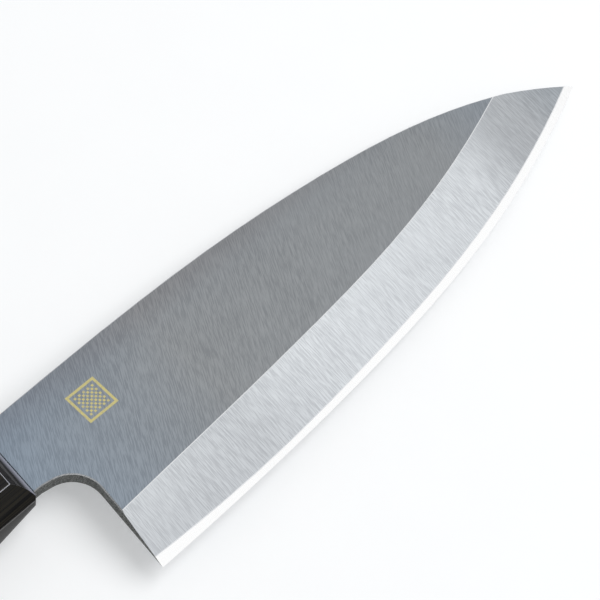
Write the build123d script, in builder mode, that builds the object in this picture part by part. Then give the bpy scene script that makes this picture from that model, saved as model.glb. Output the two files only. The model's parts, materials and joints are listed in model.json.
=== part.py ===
from build123d import *
from math import asin, atan, cos, degrees, radians, sin, sqrt, tan
import os

# Right-handed deba knife, in millimetres, laid on its hollow back as it rests on a table.
# +X points to the tip, +Y to the spine and +Z up. The origin is on the table, under the knife's middle.
# In the knife's own frame u runs from the front of the handle to the tip, v from the handle's axis
# towards the spine, and height is counted from the flat of the blade's back.

# Blade outline
blade_length = 164.6
blade_height = 49.6
heel_reach = 9.2
heel_lean = 3.2
neck_height = 19.0
neck_straight = 2.5
neck_slope = 10.0
notch_radius = 7.8

# Blade section
neck_thick = 3.8
point_thick = 2.1
strip_thick_share = 0.2
strip_width = 2.0
edge_ease = 0.25

# Hollow of the back
hollow_start = 17.0
hollow_length = 124.0
hollow_drop = 24.0
hollow_width = 38.0
hollow_depth = 0.3
hollow_carry_share = 1.2

# Tang
neck_inset = 4.0
seat_step = 0.4
seat_lead = 0.3
tang_length = 92.0
tang_root = 13.0
tang_end = 7.0
tang_end_thick = 2.4

# Handle
handle_length = 128.0
front_width = 24.0
front_thick = 17.6
butt_width = 27.6
butt_thick = 21.0
front_facet = 4.8
butt_facet = 5.7
facet_round = 0.5
butt_ease = 1.2

# Nose of the handle
nose_lead = 4.0
nose_radius = 10.3
nose_slant = 4.8
nose_side_round = 4.2
nose_side_clear = 0.1
relief_run = 15.0
relief_rise = 6.3
relief_lean = 18.0

# Resin bed of the tang
bed_gap = 0.35

overrun = 20.0

# Shares of the blade length from heel to tip, and at each of them how far the ridge and the cutting edge
# lie below the neck's upper line, as shares of the blade height. The strip along the edge has a share of
# its full width there. The first and last places carry the ground faces on past the heel and the tip.
length_shares = (-0.06, 0.0, 0.2, 0.4, 0.6, 0.8, 0.9, 1.0, 1.06)
ridge_shares = (0.726, 0.710, 0.668, 0.620, 0.546, 0.397, 0.289, 0.163, 0.080)
edge_shares = (1.000, 1.000, 0.987, 0.950, 0.879, 0.741, 0.638, 0.518, 0.431)
strip_shares = (1.65, 1.35, 0.75, 0.88, 1.00, 1.03, 1.00, 1.15, 1.20)
spine_length_shares = (0.2, 0.4, 0.6, 0.8, 0.9)
spine_shares = (-0.0157, 0.0, 0.063, 0.198, 0.325)
ground_carry_share = 0.4

# Sizes that follow from the ones above
neck_top = neck_height / 2
tip_reach = heel_reach + blade_length
axis_height = neck_thick / 2
thinning = (neck_thick - point_thick) / tip_reach
handle_growth = (butt_thick - front_thick) / 2 / (handle_length + nose_lead)

# The nose is rounded about a line that crosses the knife below its axis, turned in plan by the slant
nose_turn = radians(nose_slant)
nose_reach = sqrt(nose_radius**2 - axis_height**2) / cos(nose_turn)
nose_centre = tan(nose_turn) * neck_top - nose_reach
nose_edge = nose_centre + sqrt(nose_radius**2 - (front_thick / 2) ** 2) / cos(nose_turn)
nose_edge += tan(nose_turn) * (front_width / 2 - front_facet)
nose_edge_height = front_thick / 2 + handle_growth * (nose_lead - nose_edge)
nose_front = nose_centre + nose_radius / cos(nose_turn) + nose_side_clear
nose_half = front_width / 2 + nose_side_clear

# The knife leans on its tip and on the lower front edge of the handle
pitch = atan((nose_edge_height - axis_height) / (tip_reach - nose_edge))
butt_low = butt_thick / 2 - axis_height
start_x = (handle_length - tip_reach) / 2 * cos(pitch) + butt_low / 2 * sin(pitch)
start_y = (blade_height - neck_top - butt_width / 2) / 2
start_z = tip_reach * sin(pitch)
knife = Plane(
    origin=(start_x, start_y, start_z),
    x_dir=(cos(pitch), 0, -sin(pitch)),
    z_dir=(sin(pitch), 0, cos(pitch)),
)


def knife_plane(place, normal, along):
    """A plane with its origin, normal and x direction given in the knife's own frame."""
    start = knife.from_local_coords(place)
    z_dir = knife.from_local_coords(normal) - knife.origin
    x_dir = knife.from_local_coords(along) - knife.origin
    return Plane(origin=start, x_dir=x_dir, z_dir=z_dir)


def blade_u(share):
    """Place along the knife of a share of the blade length."""
    return heel_reach + share * blade_length


def blade_v(share):
    """Place across the knife of a share of the blade height."""
    return neck_top - share * blade_height


# The flat of the bevelled side sinks towards the tip, and the tang sinks towards its end
flat_plane = knife_plane((0, 0, neck_thick), (thinning, 0, 1), (1, 0, -thinning))
tang_fall = (neck_thick - tang_end_thick) / (tang_length - neck_inset)
tang_plane = knife_plane((-neck_inset, 0, neck_thick), (-tang_fall, 0, 1), (1, 0, tang_fall))

# Lines of the grind: the ridge on the flat, the inner side of the edge strip, and the cutting edge
ridge_line = []
strip_line = []
edge_line = []
for length_share, ridge, edge, strip in zip(length_shares, ridge_shares, edge_shares, strip_shares):
    along = blade_u(length_share)
    flat_high = neck_thick - thinning * along
    ridge_line.append(Vector(along, blade_v(ridge), flat_high))
    strip_line.append(Vector(along, blade_v(edge) + strip * strip_width, strip_thick_share * flat_high))
    edge_line.append(Vector(along, blade_v(edge), 0))


def ground_face(upper, lower):
    """A ruled face through two lines of the grind, carried on past both of them."""
    with BuildLine(knife) as above:
        Spline(*[tuple(high + (high - low) * ground_carry_share) for high, low in zip(upper, lower)])
    with BuildLine(knife) as below:
        Spline(*[tuple(low + (low - high) * ground_carry_share) for high, low in zip(upper, lower)])
    return Face.make_surface_from_curves(above.edge(), below.edge())


bevel_face = ground_face(ridge_line, strip_line)
strip_face = ground_face(strip_line, edge_line)

# Blade and tang, one forging
tip = (edge_line[-2].X, edge_line[-2].Y)
grind_allowance = ground_carry_share * strip_width / 2
blank_edge_points = [(point.X, point.Y - grind_allowance) for point in reversed(edge_line[1:-2])]
spine_points = [(blade_u(s), blade_v(drop)) for s, drop in zip(spine_length_shares, spine_shares)]
notch_reach = heel_reach + heel_lean
notch_corner = (notch_reach, -neck_top - (notch_reach - neck_straight) * tan(radians(neck_slope)))
tang_outline = [
    (-neck_inset, -neck_top),
    (-neck_inset, -tang_root / 2),
    (-tang_length, -tang_end / 2),
    (-tang_length, tang_end / 2),
    (-neck_inset, tang_root / 2),
    (-neck_inset, neck_top),
]

# The hollow is a slice of a very large barrel that dips into the back, carried on past the hollow's ends
hollow_side_radius = (hollow_width**2 / 4 + hollow_depth**2) / (2 * hollow_depth)
hollow_long_radius = (hollow_length**2 / 4 + hollow_depth**2) / (2 * hollow_depth)
hollow_half_turn = hollow_carry_share * asin(hollow_length / 2 / hollow_long_radius)
hollow_middle = (hollow_start + hollow_length / 2, neck_top - hollow_drop, hollow_depth - hollow_long_radius)
hollow_axis = Axis(knife.from_local_coords(hollow_middle), knife.y_dir)
hollow_end = (
    hollow_middle[0] - hollow_long_radius * sin(hollow_half_turn),
    hollow_middle[1],
    hollow_middle[2] + hollow_long_radius * cos(hollow_half_turn),
)
hollow_plane = knife_plane(hollow_end, (-cos(hollow_half_turn), 0, -sin(hollow_half_turn)), (0, -1, 0))

# The nose is slanted in plan
slant_along = (cos(nose_turn), -sin(nose_turn), 0)


def seat_plane(height):
    """A plane along the neck that starts just in front of the line where the neck enters the nose."""
    return knife_plane((tan(nose_turn) * neck_top + seat_lead, 0, height), (0, 0, 1), slant_along)


with BuildPart() as blade:
    # Forged blank, thinning to the tip and to the tang's end
    with BuildSketch(knife) as blank:
        with BuildLine():
            spine = Spline((0, neck_top), *spine_points, tip)
            past_tip = Line(spine @ 1, spine @ 1 + spine % 1 * grind_allowance)
            low_edge = Spline(past_tip @ 1, *blank_edge_points)
            Polyline(low_edge @ 1, notch_corner, (neck_straight, -neck_top), *tang_outline, spine @ 0)
        make_face()
        fillet(blank.vertices().sort_by_distance(notch_corner)[0], radius=notch_radius)
    extrude(amount=neck_thick)
    split(bisect_by=flat_plane, keep=Keep.BOTTOM)
    split(bisect_by=tang_plane, keep=Keep.BOTTOM)
    # Grind of the right side
    extrude(to_extrude=bevel_face, amount=overrun, dir=knife.z_dir, mode=Mode.SUBTRACT)
    extrude(to_extrude=strip_face, amount=overrun, dir=knife.z_dir, mode=Mode.SUBTRACT)
    # Hollow of the back
    with BuildSketch(hollow_plane):
        with BuildLine():
            ThreePointArc((-hollow_width / 2, -hollow_depth), (0, 0), (hollow_width / 2, -hollow_depth))
            Polyline(
                (hollow_width / 2, -hollow_depth),
                (hollow_width / 2, -hollow_depth - overrun),
                (-hollow_width / 2, -hollow_depth - overrun),
                (-hollow_width / 2, -hollow_depth),
            )
        make_face()
    revolve(axis=hollow_axis, revolution_arc=2 * degrees(hollow_half_turn), mode=Mode.SUBTRACT)
    # Neck and tang a step thinner inside the handle
    for height in (neck_thick - seat_step, seat_step - overrun):
        with BuildSketch(seat_plane(height)):
            Rectangle(tang_length + overrun, blade_height, align=(Align.MAX, Align.CENTER))
        extrude(amount=overrun, mode=Mode.SUBTRACT)
    # Eased rim of the flat, from the neck round the notch and along the spine
    flat = blade.faces().filter_by(flat_plane).sort_by(SortBy.AREA)[-1]
    bevel = blade.faces().filter_by(GeomType.BSPLINE).sort_by(SortBy.AREA)[-1]
    rim = flat.edges().sort_by(Axis.X)[1:] - bevel.edges()
    chamfer(rim, length=edge_ease)
blade.part.label = "blade"


def cross_plane(along):
    """A plane across the handle, centred on its axis."""
    return knife_plane((along, 0, axis_height), (-1, 0, 0), (0, -1, 0))


def relief_plane(side):
    """The plane that clears the handle's lower corner towards the nose, so the side facet narrows there."""
    rise = relief_rise / relief_run
    lean = radians(relief_lean)
    corner = (-relief_run, side * front_width / 2, axis_height - front_thick / 2 + front_facet)
    return knife_plane(corner, (rise * sin(lean), side * cos(lean), -sin(lean)), (1, 0, rise))


# Space behind the rounded nose, which the handle and the resin bed are cut to
nose_plane = knife_plane((nose_centre, 0, axis_height), (-sin(nose_turn), -cos(nose_turn), 0), slant_along)
with BuildPart() as nose_space:
    with BuildSketch(nose_plane):
        Circle(nose_radius)
        Rectangle(handle_length + overrun, butt_thick + overrun, align=(Align.MAX, Align.CENTER))
    extrude(amount=butt_width, both=True)
    # The nose's two side corners are rounded in plan
    with BuildSketch(knife.offset(-overrun)) as nose_plan:
        with BuildLine():
            Polyline(
                (-handle_length - overrun, butt_width),
                (nose_front + tan(nose_turn) * nose_half, nose_half),
                (nose_front - tan(nose_turn) * nose_half, -nose_half),
                (-handle_length - overrun, -butt_width),
                close=True,
            )
        make_face()
        fillet(nose_plan.vertices().sort_by_distance((0, 0))[:2], radius=nose_side_round)
    extrude(amount=2 * overrun, mode=Mode.INTERSECT)

# Hole for the tang, as it is bored and broached before the blade is set in
with BuildPart() as tang_socket:
    with BuildSketch(knife.offset(-bed_gap)):
        with BuildLine():
            Polyline((nose_lead, neck_top), (nose_lead, -neck_top), *tang_outline, close=True)
        make_face()
        offset(amount=bed_gap)
    extrude(amount=neck_thick + 2 * bed_gap)

# Handle
with BuildPart() as handle:
    with BuildSketch(cross_plane(nose_lead)) as front:
        Rectangle(front_width, front_thick)
        chamfer(front.vertices(), length=front_facet)
    with BuildSketch(cross_plane(-handle_length)) as butt:
        Rectangle(butt_width, butt_thick)
        chamfer(butt.vertices(), length=butt_facet)
    loft()
    chamfer(handle.faces().sort_by(Axis.X)[0].edges(), length=butt_ease)
    fillet(handle.edges().filter_by(lambda edge: edge.length > handle_length), radius=facet_round)
    add(nose_space.part, mode=Mode.INTERSECT)
    split(bisect_by=relief_plane(-1), keep=Keep.BOTTOM)
    split(bisect_by=relief_plane(1), keep=Keep.BOTTOM)
    add(tang_socket.part, mode=Mode.SUBTRACT)
handle.part.label = "handle"

# Resin bed between the tang and its hole
with BuildPart() as tang_bed:
    add(tang_socket.part)
    add(blade.part, mode=Mode.SUBTRACT)
    add(nose_space.part, mode=Mode.INTERSECT)
tang_bed.part.label = "tang_bed"

os.makedirs("parts", exist_ok=True)
export_step(blade.part, "parts/blade.step")
export_step(handle.part, "parts/handle.step")
export_step(tang_bed.part, "parts/tang_bed.step")
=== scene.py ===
# %% [markdown]
# # A deba knife, dressed in Blender
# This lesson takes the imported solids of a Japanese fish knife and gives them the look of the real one:
# brushed steel with a bright ground bevel, a black laminated handle, and a pale studio round it.
# The solids hold the shape. Blender adds soft edges, grinding lines, wood layers and light.

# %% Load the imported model
import json
import math
import bmesh
import bpy
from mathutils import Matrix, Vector


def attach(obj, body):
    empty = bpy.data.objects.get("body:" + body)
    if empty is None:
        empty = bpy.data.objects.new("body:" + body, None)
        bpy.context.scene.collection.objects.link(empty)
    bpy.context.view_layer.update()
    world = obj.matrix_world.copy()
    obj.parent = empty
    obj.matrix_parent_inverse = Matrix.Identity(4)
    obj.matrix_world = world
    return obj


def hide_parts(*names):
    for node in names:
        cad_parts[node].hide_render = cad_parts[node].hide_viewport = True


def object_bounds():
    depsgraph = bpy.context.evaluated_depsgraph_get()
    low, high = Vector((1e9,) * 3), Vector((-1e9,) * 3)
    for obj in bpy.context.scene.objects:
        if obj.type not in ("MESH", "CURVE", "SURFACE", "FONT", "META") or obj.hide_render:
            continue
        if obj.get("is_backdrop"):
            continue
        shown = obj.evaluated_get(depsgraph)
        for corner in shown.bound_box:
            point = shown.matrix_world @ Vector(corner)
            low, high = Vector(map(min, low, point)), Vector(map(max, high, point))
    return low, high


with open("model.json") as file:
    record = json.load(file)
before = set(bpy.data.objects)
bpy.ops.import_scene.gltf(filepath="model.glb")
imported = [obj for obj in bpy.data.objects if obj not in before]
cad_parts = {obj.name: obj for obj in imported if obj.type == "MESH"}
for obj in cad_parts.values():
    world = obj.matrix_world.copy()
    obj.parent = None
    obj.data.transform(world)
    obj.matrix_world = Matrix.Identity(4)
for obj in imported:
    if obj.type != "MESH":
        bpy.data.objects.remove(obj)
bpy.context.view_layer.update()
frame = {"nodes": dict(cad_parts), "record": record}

# %% [markdown]
# ## The knife's own directions
# The knife lies pitched a little: it leans on its tip and on the front of its handle. Everything ground or
# printed on it follows the blade and not the table, so a helper turns a place on the knife into a place in
# the scene, and another turns it back. The pitch could be typed in as an angle, but the record states the
# place and the normal of the flat back, and a value read from there stays true. Lengths are in metres.

# %% Directions along, across and up from the blade
BACK_ALONG, BACK_ACROSS = 0.060, 0.0075  # where the record's point lies on the back


def stated_face(name):
    """The place and the outward direction of a face that the part's record names."""
    stated = next(mount for mount in frame["record"]["mounts"] if mount["name"] == name)
    return Vector(stated["pos_m"]), Vector(stated["axis"])


back_place, back_out = stated_face("back_flat")
knife_up = -back_out
knife_along = Vector((knife_up.z, 0, -knife_up.x))
knife_across = Vector((0, 1, 0))
pitch = math.atan2(knife_up.x, knife_up.z)
knife_start = back_place - knife_along * BACK_ALONG - knife_across * BACK_ACROSS


def on_knife(along, across, up):
    """A place on the knife: metres from the handle's front, from its axis and from the blade's back."""
    return knife_start + knife_along * along + knife_across * across + knife_up * up


def from_knife(place):
    """The same three distances, read back from a place in the scene."""
    offset = place - knife_start
    return offset.dot(knife_along), offset.dot(knife_across), offset.dot(knife_up)


print("pitch in degrees:", round(math.degrees(pitch), 2))

# %% [markdown]
# ## Copies that can be worked on
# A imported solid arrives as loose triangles, which is right for its shape but shades in facets. Each one
# that shows is copied, and the copy's triangles are joined, so edges can be softened and curved faces
# shaded smooth. The copy stands for the solid, which stays in the physics model.

# %% Copy and join the blade and the handle
WELD_DISTANCE = 0.000002
LEVEL_TURN = math.radians(0.05)


def only(piece):
    """Make one object the only selected and active one."""
    bpy.ops.object.select_all(action="DESELECT")
    piece.select_set(True)
    bpy.context.view_layer.objects.active = piece


def joined_copy(node, name):
    """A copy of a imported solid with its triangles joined."""
    copy = bpy.data.objects.new(name, frame["nodes"][node].data.copy())
    bpy.context.scene.collection.objects.link(copy)
    copy.data.materials.clear()
    only(copy)
    bpy.ops.object.mode_set(mode="EDIT")
    bpy.ops.mesh.select_all(action="SELECT")
    bpy.ops.mesh.remove_doubles(threshold=WELD_DISTANCE)
    bpy.ops.mesh.dissolve_limited(angle_limit=LEVEL_TURN)
    bpy.ops.object.mode_set(mode="OBJECT")
    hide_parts(node)
    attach(copy, "root")
    print(name, "has", len(copy.data.polygons), "faces")
    return copy


blade = joined_copy("blade", "ground_blade")
handle = joined_copy("handle", "wood_handle")

# %% [markdown]
# ## The bands of the blade
# A single-bevel blade shows three bands: the brushed flat, the wide bevel below the ridge, and a narrow
# strip honed along the cutting edge. Its back is ground hollow inside a flat rim that lies on the stone.
# Each comes from its own stone, so each gets its own finish. The faces are told apart by the way they look
# and by where they lie, never by their number, which would change with the model.

# %% Sort the blade's faces into bands
BANDS = [
    "brushed_flat", "ground_bevel", "honed_strip", "cut_side", "spine_side",
    "hollow_back", "back_rim", "eased_rim", "bright_line",
]
BACK_LOOK, UPRIGHT_LOOK, EASED_LOOK = -0.9, 0.3, 0.9  # the upward share of a face's normal, at most
FLAT_LOOK = math.cos(math.radians(3))  # the upward share of the flat's normal, at least
SPINE_LOOK = 0.5  # the share of the spine's normal that points across, at least
RIM_TOP, HONED_TOP = 0.000005, 0.00076  # how high the back's rim and the honed strip reach


def band_of(face):
    """The band that a face of the blade belongs to."""
    looks_up = face.normal.dot(knife_up)
    top = max(from_knife(corner.co)[2] for corner in face.verts)
    if looks_up < BACK_LOOK:
        return "back_rim" if top < RIM_TOP else "hollow_back"
    if looks_up < UPRIGHT_LOOK:
        return "spine_side" if face.normal.dot(knife_across) > SPINE_LOOK else "cut_side"
    if looks_up < EASED_LOOK:
        return "eased_rim"
    if looks_up > FLAT_LOOK:
        return "brushed_flat"
    return "honed_strip" if top < HONED_TOP else "ground_bevel"


shape = bmesh.new()
shape.from_mesh(blade.data)
shape.normal_update()
areas = dict.fromkeys(BANDS, 0.0)
for face in shape.faces:
    band = band_of(face)
    face.material_index = BANDS.index(band)
    areas[band] += face.calc_area() * 1e6
print("band areas in square mm:", {band: round(area) for band, area in areas.items()})

# %% [markdown]
# ## A thread of light on the grind lines
# The stones leave the lines between the bands crisp but not razor sharp, and they catch a thread of light.
# A mask could paint such a line, but a real narrow face keeps its width in every view. So the edges between
# two bands of the upper side are cut back, by about a tenth of a millimetre each way, and the cut faces get
# a pale colour that paints the thread of light in as a highlight. Then the curved bevel is shaded smooth
# while the lines stay crisp.

# %% Cut back the edges between the bands
LINE_CUT = 0.00011
BLADE_SMOOTH = 4  # degrees
weight = shape.edges.layers.float.new("bevel_weight_edge")
upper = {BANDS.index(band) for band in ("brushed_flat", "ground_bevel", "honed_strip")}
back = {BANDS.index(band) for band in ("hollow_back", "back_rim")}
line_count = 0
for edge in shape.edges:
    bands = {face.material_index for face in edge.link_faces}
    if len(bands) == 2 and bands <= upper:
        edge[weight] = 1.0
        line_count += 1
    if bands == back:
        edge.smooth = False
shape.to_mesh(blade.data)
shape.free()


def cut_edges(piece, width, steps, material, limit="WEIGHT", angle=30):
    """Bevel a piece's marked or sharp edges for good."""
    only(piece)
    cut = piece.modifiers.new("cut", "BEVEL")
    cut.limit_method, cut.width, cut.segments, cut.material = limit, width, steps, material
    cut.angle_limit = math.radians(angle)
    bpy.ops.object.modifier_apply(modifier=cut.name)


def shade(piece, angle):
    """Shade a piece smooth where its faces meet at less than an angle in degrees."""
    only(piece)
    bpy.ops.object.shade_smooth_by_angle(angle=math.radians(angle))


for band in BANDS:
    blade.data.materials.append(bpy.data.materials.new(band))
cut_edges(blade, LINE_CUT, 1, BANDS.index("bright_line"))
shade(blade, BLADE_SMOOTH)
print("edges cut back:", line_count, "- blade now has", len(blade.data.polygons), "faces")

# %% [markdown]
# ## Painted highlights on the handle's edges
# The handle's long facets meet in narrow rounded strips, and these catch thin lines of light, which are
# painted into their colour as a highlight. They are in the solid already, so they are found by their width
# and by the way they look, and so is the rounded nose beside the blade. Each kind gets a slot of its own,
# which keeps its painted highlight and its gloss off the facets next to it. The few edges that are still
# sharp are cut back a little too, and the cut faces take the strips' painted highlight.

# %% Sort the handle's faces
WOOD_FINISHES = ["laminated_wood", "burnished_wood", "polished_nose"]
NOSE_FORWARD, NOSE_UPWARD = 0.4, 0.2  # the shares of a nose face's normal, at least
NOSE_REACH = 0.004  # how far behind its front the nose is measured
STRIP_FORWARD, STRIP_WIDTH = 0.3, 0.0003  # a strip's forward share and its width, at most
FACET_TURN, STRIP_TURN_LOW, STRIP_TURN_HIGH = 45, 11, 34  # degrees from one facet to the next
HANDLE_CUT = 0.00013
HANDLE_CUT_ANGLE, HANDLE_SMOOTH = 24, 20  # degrees


def handle_band_of(part):
    """The finish of a face of the handle: the nose, a strip between two facets, or plain wood."""
    forward, upward = part.normal.dot(knife_along), part.normal.dot(knife_up)
    if forward > NOSE_FORWARD and upward > NOSE_UPWARD:
        return "polished_nose"
    ends = [[handle.data.vertices[number].co for number in pair] for pair in part.edge_keys]
    width = part.area / max((first - last).length for first, last in ends)
    turn = math.degrees(math.atan2(upward, part.normal.dot(knife_across))) % FACET_TURN
    if abs(forward) < STRIP_FORWARD and width < STRIP_WIDTH and STRIP_TURN_LOW < turn < STRIP_TURN_HIGH:
        return "burnished_wood"
    return "laminated_wood"


for finish in WOOD_FINISHES:
    handle.data.materials.append(bpy.data.materials.new(finish))
for part in handle.data.polygons:
    part.material_index = WOOD_FINISHES.index(handle_band_of(part))
corners = [from_knife(corner.co) for corner in handle.data.vertices]
nose_top = max(up for along, across, up in corners if along > -NOSE_REACH)
arris_highlight = WOOD_FINISHES.index("burnished_wood")
strip_count = sum(part.material_index == arris_highlight for part in handle.data.polygons)
cut_edges(handle, HANDLE_CUT, 2, arris_highlight, limit="ANGLE", angle=HANDLE_CUT_ANGLE)
shade(handle, HANDLE_SMOOTH)
print("nose top above the blade's back in mm:", round(nose_top * 1000, 2))
print("strips on the rounded facet edges:", strip_count)

# %% [markdown]
# ## The gold mark
# A small gold square sits on the flat near the neck: a frame of thin lines with a chequer inside, an old
# and common pattern. Gold is printed and fired on, thinner than a hair. A painted pattern would do from far
# off, but a thin mesh keeps its crisp edge in every view. It starts as a grid, cells are taken out for the
# chequer, and what is left gets its thickness.

# %% Helpers that pick faces by a test
def pick_faces(piece, test):
    """Go into edit mode with just the faces selected that pass a test."""
    only(piece)
    bpy.ops.object.mode_set(mode="EDIT")
    bpy.ops.mesh.select_mode(type="FACE")
    bpy.ops.mesh.select_all(action="DESELECT")
    bpy.ops.object.mode_set(mode="OBJECT")
    for part in piece.data.polygons:
        part.select = test(part)
    bpy.ops.object.mode_set(mode="EDIT")


def delete_faces(piece, test):
    """Delete the faces that pass a test."""
    pick_faces(piece, test)
    bpy.ops.mesh.delete(type="FACE")
    bpy.ops.object.mode_set(mode="OBJECT")


# %% Cut the square from a grid and thicken it
MARK_SIDE, MARK_CELLS, PRINT_THICKNESS = 0.0084, 13, 0.00002
MARK_ALONG, MARK_ACROSS = 0.0249, -0.0013
INSET_SHARE, INSET_AREA_SHARE = 0.06, 0.3
cell = MARK_SIDE / MARK_CELLS
flat_place, flat_up = stated_face("bevel_side_flat")
mark_place = on_knife(MARK_ALONG, MARK_ACROSS, 0)
mark_place += knife_up * ((flat_place - mark_place).dot(flat_up) / knife_up.dot(flat_up))


def cell_of(part):
    """The column and the row of a cell of the grid."""
    return [math.floor((part.center[axis] + MARK_SIDE / 2) / cell) for axis in (0, 1)]


def ring_of(part):
    """How many cells a cell of the grid lies in from the rim: 0 is the frame."""
    column, row = cell_of(part)
    return min(column, row, MARK_CELLS - 1 - column, MARK_CELLS - 1 - row)


def stays_bare(part):
    """Whether a cell has no gold: the gap inside the frame, and every second cell of the chequer."""
    return ring_of(part) == 1 or (ring_of(part) > 1 and sum(cell_of(part)) % 2 == 1)


bpy.ops.object.select_all(action="DESELECT")
bpy.ops.mesh.primitive_grid_add(x_subdivisions=MARK_CELLS, y_subdivisions=MARK_CELLS, size=MARK_SIDE)
mark = bpy.context.object
mark.name = "gold_mark"
delete_faces(mark, stays_bare)
pick_faces(mark, lambda part: ring_of(part) > 1)
bpy.ops.mesh.inset(thickness=cell * INSET_SHARE, use_individual=True)
bpy.ops.object.mode_set(mode="OBJECT")
delete_faces(mark, lambda part: part.area < cell * cell * INSET_AREA_SHARE)
only(mark)
thick = mark.modifiers.new("print", "SOLIDIFY")
thick.thickness, thick.offset = PRINT_THICKNESS, 0
bpy.ops.object.modifier_apply(modifier=thick.name)
mark.location = mark_place
mark.rotation_euler = flat_up.to_track_quat("Z", "Y").to_euler()
bpy.ops.object.transform_apply(location=True, rotation=True, scale=True)
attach(mark, "root")
print("gold mark has", len(mark.data.polygons), "faces")

# %% [markdown]
# ## Building materials from nodes
# Every finish below is a small tree of nodes. They could be placed by hand in the shader editor, but a few
# short helpers keep the trees readable in a script. The first adds any node and fills its sockets. The
# others add the kinds that come back often: a calculation, a calculation with vectors, a turn about an
# axis, a mix of two colours, a stretched value and a soft random pattern.

# %% Node helpers
def put(tree, kind, sockets=None, **settings):
    """Add a node, set its options, and fill its sockets with numbers or links."""
    made = tree.nodes.new(kind)
    for name, value in settings.items():
        setattr(made, name, value)
    for name, value in (sockets or {}).items():
        if isinstance(value, bpy.types.NodeSocket):
            tree.links.new(value, made.inputs[name])
        else:
            made.inputs[name].default_value = value
    return made


def calculated(tree, operation, first, second=0.0, third=0.0):
    """A math node's result."""
    return put(tree, "ShaderNodeMath", {0: first, 1: second, 2: third}, operation=operation).outputs[0]


def product(tree, place, scales):
    """A place, stretched by its own scale along each axis."""
    return put(tree, "ShaderNodeVectorMath", {0: place, 1: scales}, operation="MULTIPLY").outputs["Vector"]


def length_along(tree, place, way):
    """How far a place lies in one direction."""
    return put(tree, "ShaderNodeVectorMath", {0: place, 1: way}, operation="DOT_PRODUCT").outputs["Value"]


def turned_about(tree, place, axis, angle, back_again=False):
    """A place turned about an axis."""
    sockets = {"Vector": place, "Angle": angle}
    return put(tree, "ShaderNodeVectorRotate", sockets, rotation_type=axis, invert=back_again).outputs[0]


def mixed(tree, share, first, second, blend="MIX"):
    """A mix of two colours. The node's colour sockets are numbers 6 and 7."""
    sockets = {0: share, 6: first, 7: second}
    return put(tree, "ShaderNodeMix", sockets, data_type="RGBA", blend_type=blend).outputs[2]


def spread(tree, value, low, high, out_low=0.0, out_high=1.0):
    """A value stretched from one range to another, and held inside it."""
    sockets = {"Value": value, "From Min": low, "From Max": high, "To Min": out_low, "To Max": out_high}
    return put(tree, "ShaderNodeMapRange", sockets).outputs[0]


def noise(tree, place, scale=1.0, detail=2.0, roughness=0.5):
    """A soft random pattern."""
    sockets = {"Vector": place, "Scale": scale, "Detail": detail, "Roughness": roughness}
    return put(tree, "ShaderNodeTexNoise", sockets).outputs[0]


# %% [markdown]
# ## Stone lines
# All the steel was ground on wheels and stones, so all of it carries fine straight lines, but each band
# has its own direction. A scratch picture would smear on the sides, so one group makes the lines for every
# band from the place on the knife. It turns the place so that one axis runs along the lines, squeezes the
# pattern across them, and adds a fine, a middle and a broad layer. A few lines are deeper than the rest,
# and slow cloudy patches stand for uneven hand pressure. Faces that look up or down take the pattern
# straight from above, so it isn't chopped by their slope: their rise is near 0. Upright faces have a rise
# of 1.

# %% A group for stone lines
GIVEN_SOCKETS = {"Place": "NodeSocketVector", "Angle": "NodeSocketFloat", "Rise": "NodeSocketFloat"}
FINE_SHARE, MIDDLE_SHARE, BROAD_SHARE = 0.80, 0.16, 0.04
LINES_LOW, LINES_HIGH = 0.41, 0.59  # the narrow range of the noise that becomes dark to light
LINES_MIDDLE = 0.5
PRESSURE_LEAST, PRESSURE_SPAN = 0.6, 0.7
stone_lines = bpy.data.node_groups.new("stone_lines", "ShaderNodeTree")
for label, kind in GIVEN_SOCKETS.items():
    stone_lines.interface.new_socket(label, in_out="INPUT", socket_type=kind)
for label in ("Lines", "Deep", "Clouds"):
    stone_lines.interface.new_socket(label, in_out="OUTPUT", socket_type="NodeSocketFloat")
given = stone_lines.nodes.new("NodeGroupInput")
wanted = stone_lines.nodes.new("NodeGroupOutput")
leveled = turned_about(stone_lines, given.outputs["Place"], "Y_AXIS", -pitch)
turned = turned_about(stone_lines, leveled, "Z_AXIS", given.outputs["Angle"], back_again=True)
rise = put(stone_lines, "ShaderNodeCombineXYZ", {0: 1.0, 1: 1.0, 2: given.outputs["Rise"]}).outputs[0]
pressed = product(stone_lines, turned, rise)


def squeezed(per_metre_along, per_metre_across):
    """The turned place, stretched along the lines and squeezed across them."""
    return product(stone_lines, pressed, (per_metre_along, per_metre_across, per_metre_across))


fine = noise(stone_lines, squeezed(260, 3800), detail=2, roughness=0.65)
middle = noise(stone_lines, squeezed(150, 2100), detail=2, roughness=0.6)
broad = noise(stone_lines, squeezed(25, 600), detail=1)
layers = calculated(stone_lines, "MULTIPLY", broad, BROAD_SHARE)
layers = calculated(stone_lines, "MULTIPLY_ADD", middle, MIDDLE_SHARE, layers)
layers = calculated(stone_lines, "MULTIPLY_ADD", fine, FINE_SHARE, layers)
deep = spread(stone_lines, noise(stone_lines, squeezed(90, 4200), detail=1), 0.70, 0.80)
clouds = spread(stone_lines, noise(stone_lines, leveled, scale=60, detail=3, roughness=0.55), 0.3, 0.7)
pressure = calculated(stone_lines, "MULTIPLY_ADD", clouds, PRESSURE_SPAN, PRESSURE_LEAST)
contrast = spread(stone_lines, layers, LINES_LOW, LINES_HIGH, -LINES_MIDDLE, LINES_MIDDLE)
lines = calculated(stone_lines, "MULTIPLY_ADD", contrast, pressure, LINES_MIDDLE)
for label, value in (("Lines", lines), ("Deep", deep), ("Clouds", clouds)):
    stone_lines.links.new(value, wanted.inputs[label])
print("stone lines made of", len(stone_lines.nodes), "nodes")
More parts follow.
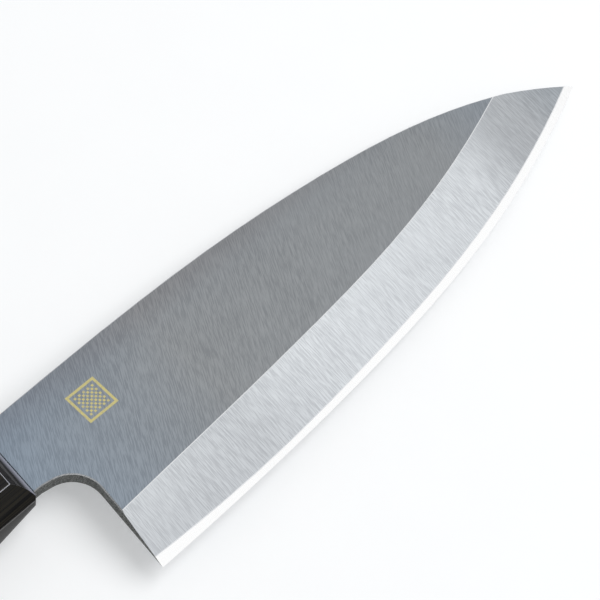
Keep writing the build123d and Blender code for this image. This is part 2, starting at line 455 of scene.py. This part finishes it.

# %% [markdown]
# ## Steel
# The same steel shows as mid grey on the brushed flat, pale on the ground bevel and almost white on the
# honed strip. Each stone leaves a different sheen. The band colours also paint in how brightly each band
# reflects the light: the flat is set darker, and the bevel and the strip paler, than bare steel. Nine
# separate trees would say the same thing nine times, so one function fills them all. The lines darken and
# brighten the colour, change the roughness, and stand up as a very low relief. Painted reflection tones
# follow the knife's
# directions: the neck is painted bluer, and the bevel darker at the heel, by the edge and most of all at the
# tip, as the photo shows.

# %% Helpers for a finish
def opened(name):
    """The tree and the shader of a material, which is made if need be, and the place on the piece."""
    made = bpy.data.materials.get(name) or bpy.data.materials.new(name)
    made.use_nodes = True
    tree = made.node_tree
    return tree, tree.nodes["Principled BSDF"], put(tree, "ShaderNodeTexCoord").outputs["Object"]


def finished(tree, surface, colour, roughness, height, relief, strength):
    """Link a colour, a roughness and a low relief to a shader."""
    bump = put(tree, "ShaderNodeBump", {"Height": height, "Distance": relief, "Strength": strength})
    tree.links.new(colour, surface.inputs["Base Color"])
    tree.links.new(roughness, surface.inputs["Roughness"])
    tree.links.new(bump.outputs[0], surface.inputs["Normal"])


def towards(tree, place, way, first, last, out_first=0.0, out_last=1.0):
    """A value that changes between two distances along one of the knife's directions."""
    start = knife_start.dot(way)
    return spread(tree, length_along(tree, place, way), start + first, start + last, out_first, out_last)


# %% A steel finish for each band
LOUD_FROM, LOUD_TO = 0.075, 0.020  # where the lines grow stronger on the way to the neck
SCRATCH_LIGHT, CLOUD_DARK = 1.5, 0.3  # deep lines and clouds, as shares of the band's own colours
LINE_ROUGHNESS, CLOUD_ROUGHNESS = 0.10, 0.05


def steel_finish(
    name, dark, light, roughness, angle, relief,
    cloud_share=0.08, deep_share=0.3, rise=0.03, neck_lines=1.0, painted_reflection=(),
):
    """Fill one of the blade's materials. Each painted reflection tone has a direction, two distances and a
    colour.
    """
    tree, surface, place = opened(name)
    pattern = put(tree, "ShaderNodeGroup", node_tree=stone_lines)
    tree.links.new(place, pattern.inputs["Place"])
    pattern.inputs["Angle"].default_value = math.radians(angle)
    pattern.inputs["Rise"].default_value = rise
    lined, deep, clouds = (pattern.outputs[label] for label in ("Lines", "Deep", "Clouds"))
    louder = towards(tree, place, knife_along, LOUD_FROM, LOUD_TO, 1.0, neck_lines)
    contrast = calculated(tree, "SUBTRACT", lined, LINES_MIDDLE)
    lined = calculated(tree, "MULTIPLY_ADD", contrast, louder, LINES_MIDDLE)
    scratched = [min(1, part * SCRATCH_LIGHT) for part in light]
    clouded = [part * CLOUD_DARK for part in dark]
    colour = mixed(tree, lined, (*dark, 1), (*light, 1))
    colour = mixed(tree, calculated(tree, "MULTIPLY", deep, deep_share), colour, (*scratched, 1))
    colour = mixed(tree, calculated(tree, "MULTIPLY", clouds, cloud_share), colour, (*clouded, 1))
    # Painted reflection: each tone tints or darkens the colour between two distances along the knife.
    for way, first, last, reflection_tone in painted_reflection:
        reflection_colour = mixed(tree, 1.0, colour, (*reflection_tone, 1), "MULTIPLY")
        colour = mixed(tree, towards(tree, place, way, first, last), colour, reflection_colour)
    cloudy = calculated(tree, "MULTIPLY_ADD", clouds, CLOUD_ROUGHNESS, roughness)
    rough = calculated(tree, "MULTIPLY_ADD", lined, LINE_ROUGHNESS, cloudy)
    finished(tree, surface, colour, rough, lined, relief, strength=0.6)
    surface.inputs["Metallic"].default_value = 1.0
    print(name, "is ready")


# Painted reflection on the flat: bluer towards the neck and the tip, darker towards the spine.
flat_painted_reflection = [
    (knife_along, 0.132, 0.160, (0.95, 1.01, 1.09)),
    (knife_along, 0.048, 0.002, (0.865, 0.985, 1.13)),
    (knife_across, -0.004, 0.008, (0.93, 0.935, 0.95)),
    (knife_across, 0.003, 0.0085, (0.93, 0.90, 0.89)),
]
# Painted shade on the bevel: darker at the tip, at the heel and towards the edge.
bevel_painted_reflection = [
    (knife_along, 0.134, 0.148, (0.70, 0.70, 0.705)),
    (knife_along, 0.156, 0.172, (0.81, 0.845, 0.87)),
    (knife_along, 0.070, 0.045, (0.83, 0.83, 0.835)),
    (knife_up, 0.0035, 0.0012, (0.91, 0.91, 0.915)),
]
# Partly painted reflection: these band colours hold how bright each band looks, as well as each stone's own
# sheen.
steel_finish(
    "brushed_flat", (0.284, 0.300, 0.316), (0.389, 0.408, 0.424),
    roughness=0.30, angle=-120, relief=0.000012, cloud_share=0.05, neck_lines=1.8, painted_reflection=flat_painted_reflection,
)
steel_finish(
    "ground_bevel", (0.68, 0.71, 0.74), (0.92, 0.96, 0.99),
    roughness=0.27, angle=-92, relief=0.00001, cloud_share=0.04, painted_reflection=bevel_painted_reflection,
)
steel_finish(
    "honed_strip", (0.985, 0.99, 0.995), (1.0, 1.0, 1.0),
    roughness=0.10, angle=-92, relief=0.0000003, cloud_share=0.0,
)
steel_finish(
    "cut_side", (0.02, 0.022, 0.02), (0.36, 0.368, 0.354),
    roughness=0.46, angle=35, relief=0.00005, cloud_share=0.25, deep_share=0.5, rise=1,
)
steel_finish(
    "spine_side", (0.34, 0.355, 0.365), (0.52, 0.535, 0.545),
    roughness=0.32, angle=0, relief=0.00001, rise=1,
)
steel_finish(
    "hollow_back", (0.40, 0.42, 0.44), (0.62, 0.64, 0.66),
    roughness=0.28, angle=-84, relief=0.00001,
)
steel_finish(
    "back_rim", (0.74, 0.76, 0.78), (0.90, 0.92, 0.93),
    roughness=0.14, angle=-8, relief=0.000003, cloud_share=0.04,
)
# Painted highlight: the eased edges are set paler for the thin line of light they catch.
steel_finish(
    "eased_rim", (0.36, 0.375, 0.39), (0.58, 0.595, 0.605),
    roughness=0.24, angle=0, relief=0.00001, cloud_share=0.1, rise=1,
)
# Painted highlight: the pale colour of the narrow cut faces on the grind lines.
steel_finish(
    "bright_line", (0.78, 0.80, 0.82), (0.90, 0.915, 0.93),
    roughness=0.22, angle=0, relief=0.000005, cloud_share=0.05, rise=1,
)

# %% [markdown]
# ## Black laminated wood
# The handle is pressed from many thin dyed veneers, laid flat and soaked with resin. The cut facets cross
# the veneers, so they show long dark and brown streaks along the handle, with fine pores in them. A wood
# photo would repeat and stretch, so layered noise makes the streaks at their real size. The sanded, oiled
# surface keeps a soft gloss. The strips between the facets are painted pale as a highlight, palest near the
# top. The rounded nose is polished, and a pale sheen beside the blade and a lit line where it meets the top
# facet are painted into its colour.

# %% Veneers, pores and gloss
PORE_BLACK = (0.002, 0.002, 0.002, 1)
VENEER_GRAIN, FIBRE_GRAIN = (4, 600, 2300), (30, 2400, 3200)  # per metre along, across and up
PORE_GRAIN = (120, 3600, 3600)
FIBRE_SHARE, PORE_SHARE, FIBRE_HEIGHT = 0.45, 0.8, 0.5
VENEER_ROUGHNESS, COAT_ROUGHNESS = 0.12, 0.09
WOOD_RELIEF = 0.00003


def wood_finish(name, black, brown, streak, roughness, gloss, painted_sheens=()):
    """Fill one of the handle's materials. Each painted sheen has a direction, two distances and a colour."""
    tree, surface, place = opened(name)
    level = turned_about(tree, place, "Y_AXIS", -pitch)
    veneers = noise(tree, product(tree, level, VENEER_GRAIN), detail=3, roughness=0.7)
    veneers = spread(tree, veneers, 0.40, 0.60)
    fibres = noise(tree, product(tree, level, FIBRE_GRAIN), detail=2, roughness=0.6)
    fibres = spread(tree, fibres, 0.42, 0.66)
    pores = noise(tree, product(tree, level, PORE_GRAIN), detail=1)
    pores = spread(tree, pores, 0.64, 0.70)
    colour = mixed(tree, veneers, (*black, 1), (*brown, 1))
    colour = mixed(tree, calculated(tree, "MULTIPLY", fibres, FIBRE_SHARE), colour, (*streak, 1))
    colour = mixed(tree, calculated(tree, "MULTIPLY", pores, PORE_SHARE), colour, PORE_BLACK)
    # Painted sheen: a pale colour blended in between two distances along one direction.
    for way, first, last, painted_sheen in painted_sheens:
        colour = mixed(tree, towards(tree, place, way, first, last), colour, (*painted_sheen, 1))
    height = calculated(tree, "SUBTRACT", calculated(tree, "MULTIPLY", fibres, FIBRE_HEIGHT), pores)
    rough = calculated(tree, "MULTIPLY_ADD", veneers, VENEER_ROUGHNESS, roughness)
    finished(tree, surface, colour, rough, height, WOOD_RELIEF, strength=0.5)
    surface.inputs["Specular IOR Level"].default_value = 0.0
    surface.inputs["Coat Weight"].default_value = gloss
    surface.inputs["Coat Roughness"].default_value = COAT_ROUGHNESS
    print(name, "is ready")


NOSE_SLANT = math.tan(math.radians(4.8))  # the nose isn't cut quite square to the handle
slanted = (knife_along - knife_across * NOSE_SLANT).normalized()
# Painted highlight on the strips near the top of the handle.
arris_highlights = [(knife_up, nose_top - 0.0030, nose_top - 0.0016, (0.28, 0.285, 0.31))]
# Painted sheen on the nose: a pale band beside the blade and a lit line just under its top.
nose_painted_sheens = [
    (slanted, -0.0016, -0.0003, (0.27, 0.272, 0.325)),
    (knife_up, nose_top - 0.00012, nose_top - 0.00007, (0.29, 0.30, 0.33)),
]
wood_finish(
    "laminated_wood", (0.0010, 0.0012, 0.0020), (0.0135, 0.0120, 0.0080), (0.022, 0.0205, 0.017),
    roughness=0.30, gloss=0.42,
)
# Painted highlight: the strips between the facets are pale grey on the black handle.
wood_finish(
    "burnished_wood", (0.09, 0.09, 0.10), (0.18, 0.178, 0.175), (0.26, 0.255, 0.25),
    roughness=0.24, gloss=0.8, painted_sheens=arris_highlights,
)
wood_finish(
    "polished_nose", (0.0016, 0.0018, 0.0034), (0.0120, 0.0118, 0.0130), (0.022, 0.022, 0.026),
    roughness=0.22, gloss=0.8, painted_sheens=nose_painted_sheens,
)

# %% [markdown]
# ## Resin and gold
# The neck is set in black resin, poured level with the wood's nose. It is glossy, with faint swirls and a
# little dust. The gold print is thin and a little rubbed, so the steel shows through it here and there.
# Both are one idea, a colour that wanders a little, so one function makes both and later the floor too.

# %% Resin and gold
SPECK_ROUGHNESS, SPECK_RELIEF = 0.15, 0.00001


def speckled(name, first, second, scale, roughness, metallic, low=0.4, high=0.6):
    """A material whose colour and roughness wander between two colours."""
    tree, surface, place = opened(name)
    wander = spread(tree, noise(tree, place, scale=scale, detail=4, roughness=0.6), low, high)
    colour = mixed(tree, wander, (*first, 1), (*second, 1))
    rough = calculated(tree, "MULTIPLY_ADD", wander, SPECK_ROUGHNESS, roughness)
    finished(tree, surface, colour, rough, wander, SPECK_RELIEF, strength=0.4)
    surface.inputs["Metallic"].default_value = metallic
    return bpy.data.materials[name]


resin = speckled(
    "black_resin", (0.006, 0.006, 0.007), (0.014, 0.014, 0.015),
    scale=900, roughness=0.14, metallic=0.0,
)
gold = speckled(
    "rubbed_gold", (0.70, 0.62, 0.27), (0.50, 0.47, 0.33),
    scale=1900, roughness=0.34, metallic=1.0, low=0.45, high=0.8,
)
frame["nodes"]["tang_bed"].material_slots[0].material = resin
mark.data.materials.append(gold)
print("resin and gold are ready")

# %% [markdown]
# ## Floor
# The photo is a cut-out style product shot: a white sweep, and only a breath of shadow below the blade.
# The floor is a pale sheet. A plain white sheet would still render a little grey, so a share of what the
# camera sees of it is a glow. The rest is the lit sheet, which takes the shadow.

# %% A pale sheet with a glow
FLOOR_SIZE = 6
GLOW_STRENGTH, GLOW_SHARE = 1.08, 0.30
bpy.ops.object.select_all(action="DESELECT")
bpy.ops.mesh.primitive_plane_add(size=FLOOR_SIZE)
floor = bpy.context.object
floor.name = "pale_floor"
sheet = speckled(
    "pale_sheet", (0.945, 0.956, 0.968), (0.936, 0.947, 0.960),
    scale=40, roughness=0.75, metallic=0.0,
)
tree = sheet.node_tree
matt = tree.nodes["Principled BSDF"].outputs[0]
glow = put(tree, "ShaderNodeEmission", {"Color": (0.98, 0.995, 1.0, 1), "Strength": GLOW_STRENGTH})
camera_ray = put(tree, "ShaderNodeLightPath").outputs["Is Camera Ray"]
glow_share = calculated(tree, "MULTIPLY", camera_ray, GLOW_SHARE)
seen_sheet = put(tree, "ShaderNodeMixShader", {0: glow_share, 1: matt, 2: glow.outputs[0]})
tree.links.new(seen_sheet.outputs[0], tree.nodes["Material Output"].inputs["Surface"])
floor.data.materials.append(sheet)
floor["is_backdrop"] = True
print("floor is", FLOOR_SIZE, "m wide")

# %% [markdown]
# ## World
# The even part of the light comes from all round, so it comes from the world. Bare metal shows what stands
# round it, and in a plain world it would look flat. Panels of mesh would throw shadows and need a place in
# the room, so two white screens are drawn in the world instead, for mirror-like rays only: a tall one above
# the blade, and a low one that the honed strip sees.

# %% Even light and two screens
PLAIN_LIGHT = 0.46
TALL_SCREEN = Vector((0.42, -0.22, 0.88)).normalized()
LOW_SCREEN = Vector((0.58, -0.30, 0.76)).normalized()
TALL_EDGE, LOW_EDGE = (0.945, 0.985), (0.90, 0.935)  # cosines between which a screen fades in
world = bpy.data.worlds.new("studio")
bpy.context.scene.world = world
world.use_nodes = True
sky = world.node_tree
background = sky.nodes["Background"]
ray = put(sky, "ShaderNodeLightPath")
toward = put(sky, "ShaderNodeTexCoord").outputs["Generated"]
height = put(sky, "ShaderNodeSeparateXYZ", {0: toward}).outputs["Z"]
tall = spread(sky, length_along(sky, toward, TALL_SCREEN), *TALL_EDGE, 0.88, 1.0)
low = spread(sky, length_along(sky, toward, LOW_SCREEN), *LOW_EDGE)
mirrored = calculated(sky, "MULTIPLY", tall, spread(sky, height, 0.15, 0.75, 0.4, 1.0))
mirrored = calculated(sky, "MAXIMUM", mirrored, low)
glossy = put(sky, "ShaderNodeMix", {0: ray.outputs["Is Glossy Ray"], 2: PLAIN_LIGHT, 3: mirrored}).outputs[0]
straight = calculated(sky, "MAXIMUM", ray.outputs["Is Camera Ray"], ray.outputs["Is Transmission Ray"])
strength = put(sky, "ShaderNodeMix", {0: straight, 2: glossy, 3: 1.0}).outputs[0]
sky.links.new(strength, background.inputs["Strength"])
background.inputs["Color"].default_value = (1, 1, 1, 1)
print("world made of", len(sky.nodes), "nodes")

# %% [markdown]
# ## Lamp
# One wide round lamp gives the rest of the light, so that the shadow has a direction: it falls from the
# heel towards the handle. Its size sets how soft the shadow is. The screens are what the metal shows, so
# the lamp itself is hidden from mirror-like rays.

# %% A wide lamp
LAMP_SIZE, LAMP_ENERGY, LAMP_DISTANCE = 1.7, 30.9, 2.0
lamp_direction = Vector((0.52, -0.29, 0.80)).normalized()
lamp_data = bpy.data.lights.new("wide_lamp", "AREA")
lamp_data.shape, lamp_data.size, lamp_data.energy = "DISK", LAMP_SIZE, LAMP_ENERGY
lamp = bpy.data.objects.new("wide_lamp", lamp_data)
bpy.context.scene.collection.objects.link(lamp)
lamp.location = lamp_direction * LAMP_DISTANCE
lamp.rotation_euler = lamp_direction.to_track_quat("Z", "Y").to_euler()
lamp.visible_glossy = False
print("lamp stands", round(lamp.location.length, 2), "m away")

# %% [markdown]
# ## Camera
# The camera looks down at the blade from the handle's side with a long lens, so the knife runs from the
# lower left to the upper right and the handle is cut by the frame, as in the photo. Its place and turns
# were worked out from the knife's own lines in the photo.

# %% Camera at the photo's view
SENSOR_WIDTH, LENS = 36, 144
CAMERA_PLACE = (-0.16490139, -0.16979718, 0.47978778)
CAMERA_TURNS = (30.138494, -3.914069, -45.839882)
camera_data = bpy.data.cameras.new("photo_view")
camera_data.sensor_width, camera_data.lens = SENSOR_WIDTH, LENS
camera = bpy.data.objects.new("photo_view", camera_data)
bpy.context.scene.collection.objects.link(camera)
camera.location = CAMERA_PLACE
camera.rotation_euler = [math.radians(turn) for turn in CAMERA_TURNS]
bpy.context.scene.camera = camera
bpy.context.scene.view_settings.view_transform = "Standard"
print("camera lens in mm:", camera_data.lens)

# %% [markdown]
# ## The dressed size
# The box round everything that renders is measured, and its size is printed in millimetres.

# %% Print the dressed box
low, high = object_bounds()
print("dressed box in mm:", [round(side * 1000, 2) for side in high - low])
